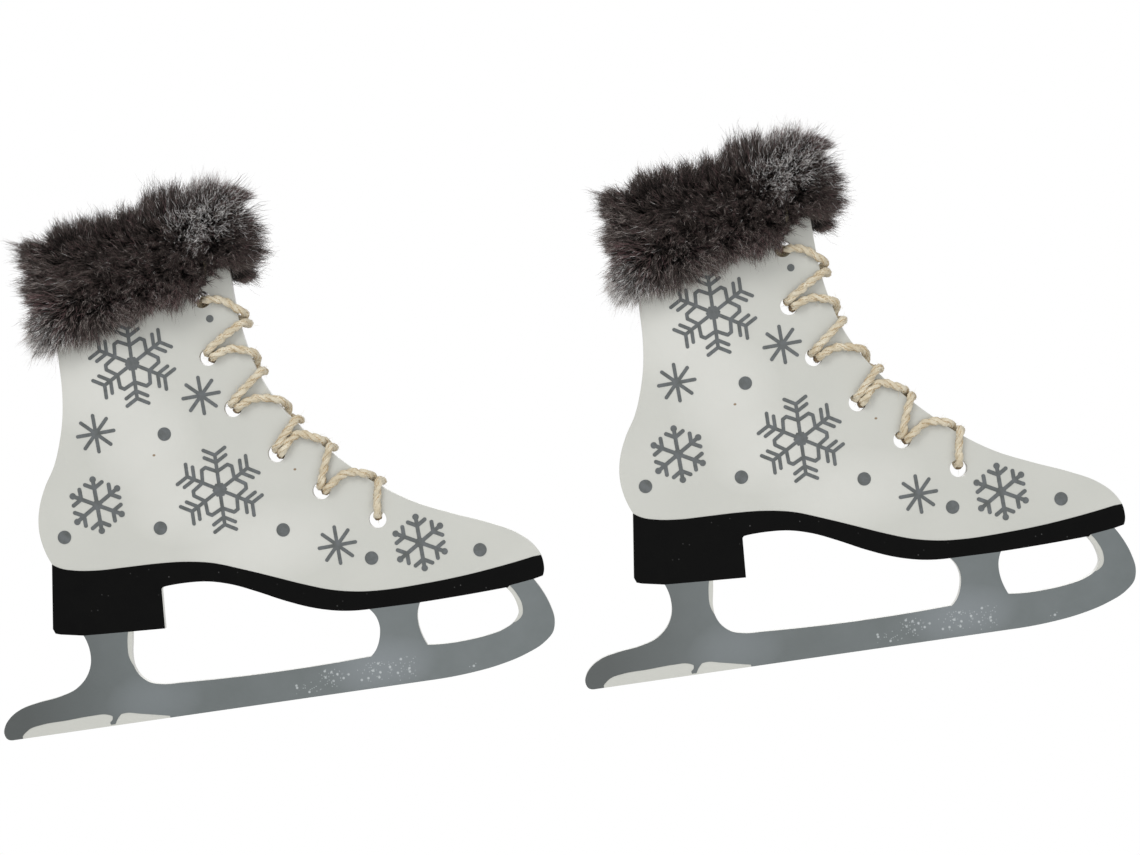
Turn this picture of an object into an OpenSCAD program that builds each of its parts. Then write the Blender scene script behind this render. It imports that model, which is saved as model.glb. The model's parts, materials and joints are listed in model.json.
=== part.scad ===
// A hanging pair of flat, cut-out ice skates: printed boards, fur cuffs and a jute lace on each.
// One skate is drawn level, in its own u, w plane: u runs along the blade from its tail, and w
// runs up from the blade's lower edge. Both skates are then turned up by hang_tilt and placed.
// The boards stand in the XZ plane, with their printed faces towards -Y and their middle at Y = 0.
// The origin is the middle of the straight lower edge of the left blade.

/* [Pair] */
// Slope of both blades as the pair hangs, toe end up, in degrees
hang_tilt = 8.2; // [0:0.2:12]
// Distance along X from one skate to the other
pair_step = 232.4; // [228:0.2:320]
// Height of the right skate above the left one
pair_rise = 20.4; // [0:0.2:60]

/* [Board] */
// Thickness of the board
board_t = 5; // [4:0.5:5]
// Diameter of the lace holes
hole_d = 7; // [6.8:0.1:7.4]

/* [Prints] */
// Thickness of a printed film
ink_t = 0.15; // [0.1:0.05:0.2]
// Width of the lines of the large snowflakes and the stars
line_w = 1.45; // [0.9:0.05:1.6]
// Width of the lines of the branched snowflakes
branch_w = 1.6; // [1:0.05:1.8]
// Diameter of a large dot
dot_d = 5.4; // [4:0.1:6]
// Diameter of the small dot beside the top lace hole
small_dot_d = 3; // [2:0.1:4]

/* [Cuff] */
// Thickness of the cloth that carries the fur
backing_t = 1; // [0.6:0.1:1.5]
// Thickness of the glue between cloth and board
glue_t = 0.4; // [0.2:0.1:0.6]
// How far the fur stands out from the middle of the board, front and back
fur_depth = 13; // [9:0.5:16]
// How far the fur stands out past the edges of its cloth
fur_reach = 9.5; // [7:0.5:11]

/* [Lace] */
// Diameter of the jute lace
lace_d = 2.5; // [2.1:0.1:2.5]
// Diameter of the knot behind the top hole
knot_d = 8.4; // [7.8:0.2:8.8]

/* [Hidden] */

paint_white = "#d2d2ca";
ink_black = "#151515";
ink_grey = "#747a7a";
motif_grey = "#60645f";
fur_brown = "#2a2523";
cloth_brown = "#3a322c";
glue_amber = "#c9bd98";
jute = "#cbb893";

$fn = 48;
face_y = board_t / 2;
blade_flat = [2, 172];
steps = 6;
past = 10;

// ---- Smooth curves through a few points ----

function chord(p, i) = norm(p[i + 1] - p[i]);
function heading(p, i) = (p[i + 1] - p[i]) / chord(p, i);
function inner_slope(p, i) =
    (heading(p, i - 1) * chord(p, i) + heading(p, i) * chord(p, i - 1))
    / (chord(p, i - 1) + chord(p, i));
function slope(p, i) =
    len(p) == 2 ? heading(p, 0)
    : i == 0 ? 2 * heading(p, 0) - inner_slope(p, 1)
    : i == len(p) - 1 ? 2 * heading(p, i - 1) - inner_slope(p, i - 1)
    : inner_slope(p, i);
function span(p, i, s) =
    let (d = chord(p, i), a = slope(p, i) * d, b = slope(p, i + 1) * d)
    p[i] * (2 * s * s * s - 3 * s * s + 1) + a * (s * s * s - 2 * s * s + s)
    + p[i + 1] * (3 * s * s - 2 * s * s * s) + b * (s * s * s - s * s);

// A curve without its last point, so that the next one can start there
function curve(p) = [
    for (i = [0 : len(p) - 2], k = [0 : steps - 1]) span(p, i, k / steps)
];

// ---- Edges of the board, in the u, w plane ----

heel_back = [[23.6, 41.8], [26.9, 67.5]];
boot_back = [
    [26.9, 67.5], [24.6, 74], [23.7, 82], [25, 90], [28.6, 98.5], [33.2, 106],
    [36.9, 115.5], [39.4, 125], [40.8, 136], [41.1, 148], [41.1, 160]
];
shaft_top = [[41.1, 160], [41.1, 191], [114, 202], [114, 176]];
boot_front = [
    [114, 176], [114.2, 164], [115, 152], [117.3, 139.5], [120.8, 128], [126, 118],
    [132.6, 108.4], [141.1, 98.7], [151.1, 88.7], [161.9, 79.4], [174, 71.4], [188, 64.9],
    [202.2, 59], [212.2, 53.8], [218.2, 48.4], [221, 43.6]
];
sole_end = [[221, 43.6], [221.6, 40], [221.3, 36.6], [220.6, 35]];
sole_step = [[220.6, 35], [216.7, 34.2]];
toe_curl = [
    [216.7, 34.2], [219.6, 29], [221.9, 22.8], [222.8, 17], [221.6, 12.4], [217.5, 8.6],
    [209.5, 5], [198, 2.1], [186, 0.6], [172, 0]
];
blade_foot = [[blade_flat[1], 0], [blade_flat[0], 0]];
tail = [
    [2, 0], [-0.7, 0.8], [-1.6, 3.2], [-0.7, 6.2], [2, 9.3], [6.4, 11.8], [13, 13.3], [22.6, 14.6],
    [29.3, 16.7], [34, 20.6], [36.5, 25.4], [37, 31], [35.4, 37.4]
];
heel_tip = [[35.4, 37.4], [26.5, 39.1], [24.4, 39.8], [23.6, 41.8]];

// ---- Edges of the two windows in the blade ----

post_rear = [
    [54.8, 36.3], [54.2, 32], [53.4, 27], [53.6, 22.5], [55.6, 18.2], [59, 15.2],
    [64, 13.7], [72, 13.2], [148, 12.8]
];
post_front = [[148, 12.8], [150.2, 15], [152.4, 19.6], [153.1, 24.6], [152.1, 28.6], [150, 31.6]];
sole_rear = [
    [150, 31.6], [139, 32.5], [128.6, 35.1], [117, 39.8], [106.5, 45], [97, 49.2],
    [88, 51.7], [78, 52.5], [71, 52.3]
];
heel_front = [[71, 52.3], [69.5, 52.1], [68.9, 51.4], [68, 35.6]];
toe_bar = [
    [171, 14.2], [178, 13.6], [186, 13.7], [195, 14.5], [202, 16], [206.6, 18.4],
    [208.9, 21.8], [208.6, 26], [205.4, 32.4]
];
sole_toe = [[205.4, 32.4], [190, 31.8], [170.4, 31.4]];
post_toe = [[170.4, 31.4], [168.9, 27.6], [168.6, 23], [169.4, 18.4], [171, 14.2]];

// ---- Edges of the printing ----

sole_top = [
    [26.9, 67.4], [30, 65.4], [36, 63.6], [44, 62.5], [56, 62.1], [68, 61.8], [79, 61],
    [90, 59], [102, 54.7], [114, 49.9], [125, 45.4], [136, 41.5], [147, 39.2], [158, 38.4],
    [172, 38.6], [186, 39.3], [203, 41], [221, 43.7]
];
bare_rear = [[5.5, 1], [8.6, 3.4], [14, 4.5], [24, 4.8], [34, 5.2], [40, 4.9], [42.2, 4]];
tooth_rear = [[42.2, 4], [42, 2.4], [41, 1.4], [41.2, 0.6]];
tooth_tip = [[41.2, 0.6], [43, 0.6]];
tooth_front = [[43, 0.6], [44.2, 2.6], [45.8, 4.2]];
bare_front = [[45.8, 4.2], [48, 4.4], [53, 3.4], [60, 1.9], [66, 0.6]];
post_margin = [[53.3, 37], [52.2, 31], [52.1, 27], [53.6, 22.5]];
toe_margin = [[206.9, 33], [209.4, 29], [210.8, 24.6], [210.2, 20.6], [207, 18.2]];

// ---- Places of the motifs and the holes ----

hole_places = [
    [101.3, 163.8], [100.5, 140.6], [107.4, 118.9], [122.1, 98.5], [137.7, 81.3], [158.4, 66.7]
];
large_flake_places = [[70.1, 142.3], [97.6, 87.4]];
branched_flake_places = [[48.2, 88.3], [173.9, 55.1]];
star_places = [[51.7, 116.7], [95.6, 125.8], [141, 58.8]];
dot_places = [[78.8, 112.6], [33.4, 77.4], [71.9, 75.6], [120.4, 67.9], [153.8, 51.7], [197.2, 48.8]];
small_dot_place = [103.4, 155.7];
motif_turn = 2;

// ---- The cuff, on the shaft of the boot ----

shaft_rear = 41.1;
shaft_front = 114.1;
edge_gap = 0.4;
strip_foot = [158.5, 171];
strip_head = [192, 203];
seam_at = 104;
seam_gap = 1.5;
trim_line = [[104, 171.5], [118, 181]];
fur_centres = [[41, 163.5], [41, 186], [93, 203], [116, 199], [118.5, 185], [98, 177.5]];

// ---- Route of the lace, as u, y, w: down the front edge by six holes, and back up ----

lace_route = [
    [102, 2.5, 163.4], [102, -1.5, 163.4], [103.4, -4.2, 163.4], [109.5, -4.1, 162.2],
    [115.4, -3.9, 157.6], [117.4, 0, 155.8], [115.8, 3.9, 154.4], [102.6, 4.3, 140.5],
    [102.1, 0, 139.8], [102.7, -4.3, 140.4], [109.5, -4.1, 142.5], [118.3, -3.9, 140.1],
    [119.4, 0, 138.3], [119.3, 3.9, 136.6], [109.6, 4.3, 119.2],
    [109, 0, 118.3], [109.6, -4.3, 118.9], [116.5, -4.1, 121.5], [126.5, -3.9, 119.6],
    [128.3, 0, 117.8], [128.9, 3.9, 116.3], [124.4, 4.3, 98.8],
    [123.7, 0, 97.8], [124.3, -4.3, 98.6], [131.5, -4.1, 105], [139.8, -3.9, 101.9],
    [141.8, 0, 100.7], [142.3, 3.9, 99.3], [139.9, 4.3, 81.9],
    [139.3, 0, 80.8], [140, -4.3, 81.6], [148.5, -4.1, 86.8], [156.5, -3.9, 85.5],
    [158.4, 0, 84.4], [158.7, 3.9, 83.6], [158.6, 4.3, 68.6],
    [158.5, 0, 67.9], [158.7, -4.3, 68.6], [159.6, -4.1, 75.5], [161.1, -3.9, 81.6],
    [161.6, 0, 81.8], [162, 5.2, 81.6], [159.3, 7.3, 82.5], [141, 7.1, 84],
    [138.2, 6.7, 83.9], [137.3, 4.2, 83.5],
    [137.5, 0, 83], [138.1, -4.3, 83.8], [140.6, -4.1, 91], [143.6, -3.9, 97.9],
    [144.3, 0, 97.9], [144.7, 5.2, 97.7], [142, 7.2, 98.3], [125.5, 7.1, 100.8],
    [122.7, 6.7, 100.9], [121.8, 4.2, 100.7],
    [121.9, 0, 100.2], [122.5, -4.3, 101], [132.2, -3.9, 111.1], [133.1, 0, 110.7],
    [132.8, 4, 110.7], [127.5, 7.2, 113], [111, 7.1, 120.9], [108, 6.7, 121.3],
    [107.1, 4.2, 121.1],
    [107.2, 0, 120.6], [107.8, -4.3, 121.4], [120.8, -3.9, 131.9], [121.3, 0, 132],
    [121.3, 4.8, 132.2], [117.6, 7.2, 134.2], [104.4, 7.1, 142.2], [101.4, 6.7, 143],
    [100.4, 4.2, 142.8],
    [100.4, 0, 142.3], [101, -4.3, 143.2], [116, -3.9, 152.1], [117.7, 0, 152],
    [118, 5, 151.7], [114.9, 7.4, 153.3], [107.8, 5.6, 161.2], [105.2, 5.6, 161.2]
];
lace_sides = 8;
knot_at = [101.4, 161.5];
knot_flat = 105.2;

// ---- Shared builders ----

module upright(thick, back) {
    translate([0, back, 0]) rotate([90, 0, 0]) linear_extrude(thick) children();
}

module on_face() {
    upright(ink_t, -face_y) children();
}

module on_side(side) {
    translate([side * pair_step, 0, side * pair_rise])
        rotate([0, -hang_tilt, 0])
            translate([-(blade_flat[0] + blade_flat[1]) / 2, 0, 0])
                children();
}

module stroke(from, to, width) {
    run = to - from;
    translate(from) rotate(atan2(run[1], run[0])) {
        translate([0, -width / 2]) square([norm(run), width]);
        translate([norm(run), 0]) circle(d = width);
    }
}

module six() {
    for (k = [0 : 5]) rotate(60 * k) children();
}

// ---- The board ----

module board_outline() {
    polygon(concat(
        heel_back, curve(boot_back), shaft_top, curve(boot_front), curve(sole_end),
        sole_step, curve(toe_curl), blade_foot, curve(tail), heel_tip
    ));
}

module rear_window() {
    polygon(concat(
        curve(post_rear), curve(post_front), curve(sole_rear), heel_front
    ));
}

module toe_window() {
    polygon(concat(curve(toe_bar), curve(sole_toe), curve(post_toe)));
}

module board_shape() {
    difference() {
        board_outline();
        rear_window();
        toe_window();
    }
}

module board() {
    color(paint_white) difference() {
        upright(board_t, face_y) board_shape();
        for (at = hole_places)
            translate([at[0], face_y + 1, at[1]]) rotate([90, 0, 0]) cylinder(h = board_t + 2, d = hole_d);
    }
}

// ---- The printing ----

module sole_area() {
    polygon(concat(
        [[15, 67.4]], curve(sole_top),
        [
            [230, 43.7], [230, 35.7], [216.7, 34.2], [206.9, 33], [205, 31.6], [190, 31.2], [170.4, 31.3],
            [150, 31.6], [138, 31.6], [118, 38.4], [96, 48.4], [80, 51.4], [75, 51],
            [75, 35], [54.8, 36.3], [35.4, 37.4], [30, 37.4], [15, 38]
        ]
    ));
}

module blade_area() {
    polygon(concat(
        [[-past, 40], [-past, -past], [5.5, -past]],
        curve(bare_rear), curve(tooth_rear), tooth_tip, curve(tooth_front), curve(bare_front),
        [[66, -past], [230, -past], [230, 37], [140, 34], [60, 40]]
    ));
}

module bare_margins() {
    polygon(concat(curve(post_margin), [[53.6, 22.5], [58, 22.5], [58, 37]]));
    polygon(concat(curve(toe_margin), [[207, 18.2], [202, 18.2], [202, 33]]));
}

module sole_print() {
    color(ink_black) on_face() intersection() {
        board_shape();
        sole_area();
    }
}

module blade_print() {
    color(ink_grey) on_face() difference() {
        intersection() {
            board_shape();
            blade_area();
        }
        sole_area();
        bare_margins();
    }
}

module large_flake_arm() {
    chevron = 5;
    out = [sin(60), cos(60)] * chevron;
    shoulder = 7.4;
    corner = 10.6;
    stroke([0, 0], [0, 14], line_w);
    for (side = [-1, 1], foot = [11, 14])
        stroke([0, foot], [side * out[0], foot + out[1]], line_w);
    for (side = [-1, 1])
        stroke([0, shoulder], [side * corner * sin(25), corner * cos(25)], line_w);
    stroke([corner * sin(25), corner * cos(25)], [corner * sin(35), corner * cos(35)], line_w);
}

module large_flake() {
    circle(r = 3, $fn = 6);
    six() large_flake_arm();
}

module branched_flake() {
    circle(r = 2, $fn = 6);
    six() {
        stroke([0, 0], [0, 10.3], branch_w);
        translate([0, 10.4]) circle(r = 1.3);
        for (side = [-1, 1])
            stroke([0, 6.8], [side * 3.4, 8.8], branch_w);
    }
}

module star() {
    circle(r = 1.9, $fn = 8);
    for (k = [0 : 7])
        rotate(45 * k) stroke([0, 0], [0, 7.3], line_w);
}

module large_snowflakes() {
    color(motif_grey) on_face() for (at = large_flake_places)
        translate(at) large_flake();
}

module branched_snowflakes() {
    color(motif_grey) on_face() for (at = branched_flake_places)
        translate(at) rotate(motif_turn) branched_flake();
}

module stars() {
    color(motif_grey) on_face() for (at = star_places)
        translate(at) rotate(motif_turn) star();
}

module dots() {
    color(motif_grey) on_face() {
        for (at = dot_places)
            translate(at) circle(d = dot_d);
        translate(small_dot_place) circle(d = small_dot_d);
    }
}

// ---- The fur cuff ----

// The strip's slanting band, grown sideways past the shaft and up and down past its edges
module band(aside, along) {
    rear = shaft_rear - aside;
    front = shaft_front + aside;
    polygon([
        [rear, strip_foot[0] - along], [front, strip_foot[1] - along],
        [front, strip_head[1] + along], [rear, strip_head[0] + along]
    ]);
}

// The room that the board and its glue take inside the wrapped strip
module shaft_room() {
    inside = face_y + glue_t;
    upright(2 * inside, inside) band(edge_gap, past);
}

// What is cut off the strip's end in front of the board, below a slanting line
module front_trim(above) {
    foot = strip_foot[0] - past;
    upright(past, 0) polygon([
        [trim_line[0][0], foot], trim_line[0] + [0, above], trim_line[1] + [0, above],
        [trim_line[1][0], foot]
    ]);
}

module cuff_glue() {
    color(glue_amber) difference() {
        for (back = [-face_y, face_y + glue_t])
            upright(glue_t, back) band(-4, -3);
        front_trim(2);
    }
}

module cuff_backing() {
    outside = face_y + glue_t + backing_t;
    color(cloth_brown) difference() {
        upright(2 * outside, outside) band(edge_gap + backing_t, 0);
        shaft_room();
        front_trim(0);
        translate([seam_at, -outside - 1, 0]) cube([seam_gap, 1 + backing_t, 2 * strip_head[1]]);
    }
}

module cuff_fur() {
    cloth = face_y + glue_t + backing_t;
    color(fur_brown) difference() {
        hull() for (at = fur_centres)
            translate([at[0], 0, at[1]]) resize([2 * fur_reach, 2 * fur_depth, 2 * fur_reach])
                sphere(r = fur_reach, $fn = 24);
        upright(2 * cloth, cloth) band(edge_gap + backing_t, past + fur_reach);
    }
}

// ---- The lace ----

function unit(v) = v / norm(v);
function travel(p, i) =
    i == 0 ? unit(p[1] - p[0])
    : i == len(p) - 1 ? unit(p[i] - p[i - 1])
    : unit(unit(p[i] - p[i - 1]) + unit(p[i + 1] - p[i]));
function squared(side, along) = unit(side - (side * along) * along);
function sides_of(p) = [
    for (i = 0, side = squared([0, 0, 1], travel(p, 0)); i < len(p);
        i = i + 1, side = i < len(p) ? squared(side, travel(p, i)) : side)
        side
];
function ring(at, along, side, r, n) = [
    for (k = [0 : n - 1]) at + r * (cos(360 * k / n) * side + sin(360 * k / n) * cross(along, side))
];

module tube(p, r, n) {
    sides = sides_of(p);
    last = (len(p) - 1) * n;
    polyhedron(
        points = [for (i = [0 : len(p) - 1]) each ring(p[i], travel(p, i), sides[i], r, n)],
        faces = concat(
            [[for (k = [0 : n - 1]) k]],
            [for (i = [0 : len(p) - 2], k = [0 : n - 1])
                [i * n + k, (i + 1) * n + k, i * n + (k + 1) % n]],
            [for (i = [0 : len(p) - 2], k = [0 : n - 1])
                [(i + 1) * n + k, (i + 1) * n + (k + 1) % n, i * n + (k + 1) % n]],
            [[for (k = [0 : n - 1]) last + n - 1 - k]]
        )
    );
}

module lace() {
    color(jute) tube(lace_route, lace_d / 2, lace_sides);
}

// The knot has one flat side on the board and one where the lace comes back into it
module lace_knot() {
    color(jute) intersection() {
        translate([knot_at[0], face_y + knot_d * 0.4, knot_at[1]]) sphere(d = knot_d);
        translate([knot_flat - knot_d, face_y, knot_at[1] - knot_d / 2])
            cube([knot_d, knot_d, knot_d]);
    }
}

on_side(0) board();  // left_board
on_side(0) sole_print();  // left_sole_print
on_side(0) blade_print();  // left_blade_print
on_side(0) large_snowflakes();  // left_large_snowflakes
on_side(0) branched_snowflakes();  // left_branched_snowflakes
on_side(0) stars();  // left_stars
on_side(0) dots();  // left_dots
on_side(0) cuff_glue();  // left_cuff_glue
on_side(0) cuff_backing();  // left_cuff_backing
on_side(0) cuff_fur();  // left_cuff_fur
on_side(0) lace();  // left_lace
on_side(0) lace_knot();  // left_lace_knot
on_side(1) board();  // right_board
on_side(1) sole_print();  // right_sole_print
on_side(1) blade_print();  // right_blade_print
on_side(1) large_snowflakes();  // right_large_snowflakes
on_side(1) branched_snowflakes();  // right_branched_snowflakes
on_side(1) stars();  // right_stars
on_side(1) dots();  // right_dots
on_side(1) cuff_glue();  // right_cuff_glue
on_side(1) cuff_backing();  // right_cuff_backing
on_side(1) cuff_fur();  // right_cuff_fur
on_side(1) lace();  // right_lace
on_side(1) lace_knot();  // right_lace_knot
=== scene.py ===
"""The looks of a hanging pair of flat ice skate ornaments: painted boards, fur cuffs and jute laces.

One skate is laid out in its own millimetre plane: u runs along the blade from its tail, w runs up from the
blade's lower edge, and y goes through the board, negative in front. Its own mount then places it. Lengths are
in millimetres wherever they are not said to be in metres, and colours are linear.
"""

import json
import math

import bpy
import numpy as np
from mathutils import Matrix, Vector
from mathutils.kdtree import KDTree


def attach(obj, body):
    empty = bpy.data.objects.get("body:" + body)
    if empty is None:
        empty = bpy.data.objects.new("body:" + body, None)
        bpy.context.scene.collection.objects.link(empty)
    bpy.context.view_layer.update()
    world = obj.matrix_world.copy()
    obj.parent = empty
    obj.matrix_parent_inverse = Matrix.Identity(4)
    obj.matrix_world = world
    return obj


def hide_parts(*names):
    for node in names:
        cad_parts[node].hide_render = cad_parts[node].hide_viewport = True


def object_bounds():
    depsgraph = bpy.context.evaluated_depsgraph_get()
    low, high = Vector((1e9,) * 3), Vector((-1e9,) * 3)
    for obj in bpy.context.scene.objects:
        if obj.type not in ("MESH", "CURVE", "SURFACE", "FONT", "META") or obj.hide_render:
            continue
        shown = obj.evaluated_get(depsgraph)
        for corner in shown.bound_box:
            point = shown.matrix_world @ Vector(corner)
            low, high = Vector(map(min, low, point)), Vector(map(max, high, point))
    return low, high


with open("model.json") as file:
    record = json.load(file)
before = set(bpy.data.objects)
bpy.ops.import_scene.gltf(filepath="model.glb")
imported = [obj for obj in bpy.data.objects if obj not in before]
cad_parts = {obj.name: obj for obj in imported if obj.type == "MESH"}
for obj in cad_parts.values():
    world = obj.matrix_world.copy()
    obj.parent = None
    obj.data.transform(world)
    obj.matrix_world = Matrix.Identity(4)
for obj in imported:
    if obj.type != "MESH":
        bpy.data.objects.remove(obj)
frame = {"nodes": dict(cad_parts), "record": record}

MM = 0.001
SIDES = ("left", "right")
cad_low, cad_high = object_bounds()
MIDDLE = (cad_low + cad_high) / 2

# ---- Where each skate is ----

FOOT_U = 87.0  # the mounts are at the middle of the blade's straight edge, this far from its tail
MOUNTS = {mount["name"]: mount for mount in frame["record"]["mounts"]}


def skate_axes(side):
    """The skate's origin and its u, y and w directions in the row frame."""
    mount = MOUNTS[side + "_blade_foot"]
    w_axis = -np.array(mount["axis"], float)
    u_axis = np.array([w_axis[2], 0.0, -w_axis[0]])
    return np.array(mount["pos_m"], float), np.array([u_axis, [0.0, 1.0, 0.0], w_axis])


def to_frame(points, side):
    """Points (u, y, w) in millimetres as points in the row frame."""
    origin, axes = skate_axes(side)
    local = np.asarray(points, float) - [FOOT_U, 0.0, 0.0]
    return origin + (local * MM) @ axes


def to_local(points, side):
    """Points in the row frame as points (u, y, w) in millimetres."""
    origin, axes = skate_axes(side)
    return (np.asarray(points, float) - origin) @ axes.T / MM + [FOOT_U, 0.0, 0.0]


def node_points(node):
    """A CAD node's vertices as (u, y, w) in millimetres."""
    vertices = frame["nodes"][node].data.vertices
    return to_local([vertex.co for vertex in vertices], node.split("_")[0])


FACE_Y = node_points("left_board")[:, 1].max()  # a board's faces are this far from its middle

# ---- Camera, light and floor ----

VIEW_WIDTH = 0.456  # metres that the picture takes in at the boards, from side to side
VIEW_RISE = 0.0034  # how many metres the picture's middle is above the model's
LENS = 100.0
SENSOR = 36.0
# For each light its name, its place, its width and height in metres, and its power in watts
LIGHTS = (
    ("key", (-0.45, -1.25, 1.25), (0.7, 0.7), 11.0),
    ("fill", (1.2, -1.3, 0.5), (0.8, 0.8), 4.0),
    ("strip_left", (-0.05, -1.7, 0.15), (0.12, 1.1), 2.4),
    ("strip_right", (0.33, -1.7, 0.15), (0.12, 1.1), 2.4),
    ("back", (0.14, 1.5, 0.9), (1.0, 0.8), 8.0),
)
ROOM_SEEN = (1.0, 1.0, 1.0, 1.0)
ROOM_LIGHT = (0.97, 0.98, 1.0, 1.0)
ROOM_STRENGTH = 0.55

FLOOR_DROP = 0.2  # metres below the lowest point
FLOOR_RADIUS = 1.0
FLOOR_FADE = 0.5  # the share of the radius where it starts to fade
FLOOR_COLOUR = (0.86, 0.86, 0.85)


def new_object(name, data):
    """An object in the scene."""
    made = bpy.data.objects.new(name, data)
    bpy.context.scene.collection.objects.link(made)
    return made


def make_camera():
    data = bpy.data.cameras.new("camera")
    data.lens = LENS
    data.sensor_width = SENSOR
    camera = new_object("camera", data)
    distance = VIEW_WIDTH * LENS / SENSOR
    camera.location = (MIDDLE.x, -FACE_Y * MM - distance, MIDDLE.z + VIEW_RISE)
    camera.rotation_euler = (math.radians(90), 0, 0)
    bpy.context.scene.camera = camera


def make_area_light(name, place, size, power):
    """A soft white light, aimed at the middle of the model."""
    data = bpy.data.lights.new(name, "AREA")
    data.shape = "RECTANGLE"
    data.size, data.size_y = size
    data.energy = power
    lamp = new_object(name, data)
    lamp.location = place
    lamp.rotation_euler = (MIDDLE - Vector(place)).to_track_quat("-Z", "Y").to_euler()


def make_world():
    """A white room. Its light is weaker than the white that shows behind the skates."""
    shades = Shades("room", bpy.data.worlds)
    bpy.context.scene.world = shades.owner
    seen = shades.add("Background", {"Color": ROOM_SEEN})
    lit = shades.add("Background", {"Color": ROOM_LIGHT, "Strength": ROOM_STRENGTH})
    in_view = shades.add("LightPath").outputs["Is Camera Ray"]
    mix = shades.add("MixShader", {"Fac": in_view, 1: lit, 2: seen})
    shades.add("OutputWorld", {"Surface": mix})
    bpy.context.scene.view_settings.view_transform = "Standard"


def make_floor():
    """A pale round floor under the pair, which fades out towards its rim."""
    bpy.ops.mesh.primitive_circle_add(
        vertices=96, radius=FLOOR_RADIUS, fill_type="NGON",
        location=(MIDDLE.x, 0, cad_low.z - FLOOR_DROP),
    )
    floor = bpy.context.object
    floor.name = "floor"
    shades = Shades("floor_pale")
    where = shades.add("TexCoord").outputs["Object"]
    distance = shades.vector_math("LENGTH", where)
    fade = shades.span(distance, FLOOR_FADE * FLOOR_RADIUS, FLOOR_RADIUS)
    surface = shades.principled(roughness=0.8, colour=FLOOR_COLOUR)
    clear = shades.add("BsdfTransparent")
    mix = shades.add("MixShader", {"Fac": fade, 1: surface, 2: clear})
    floor.data.materials.append(shades.finish(mix))


# ---- Building materials from nodes ----


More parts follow.
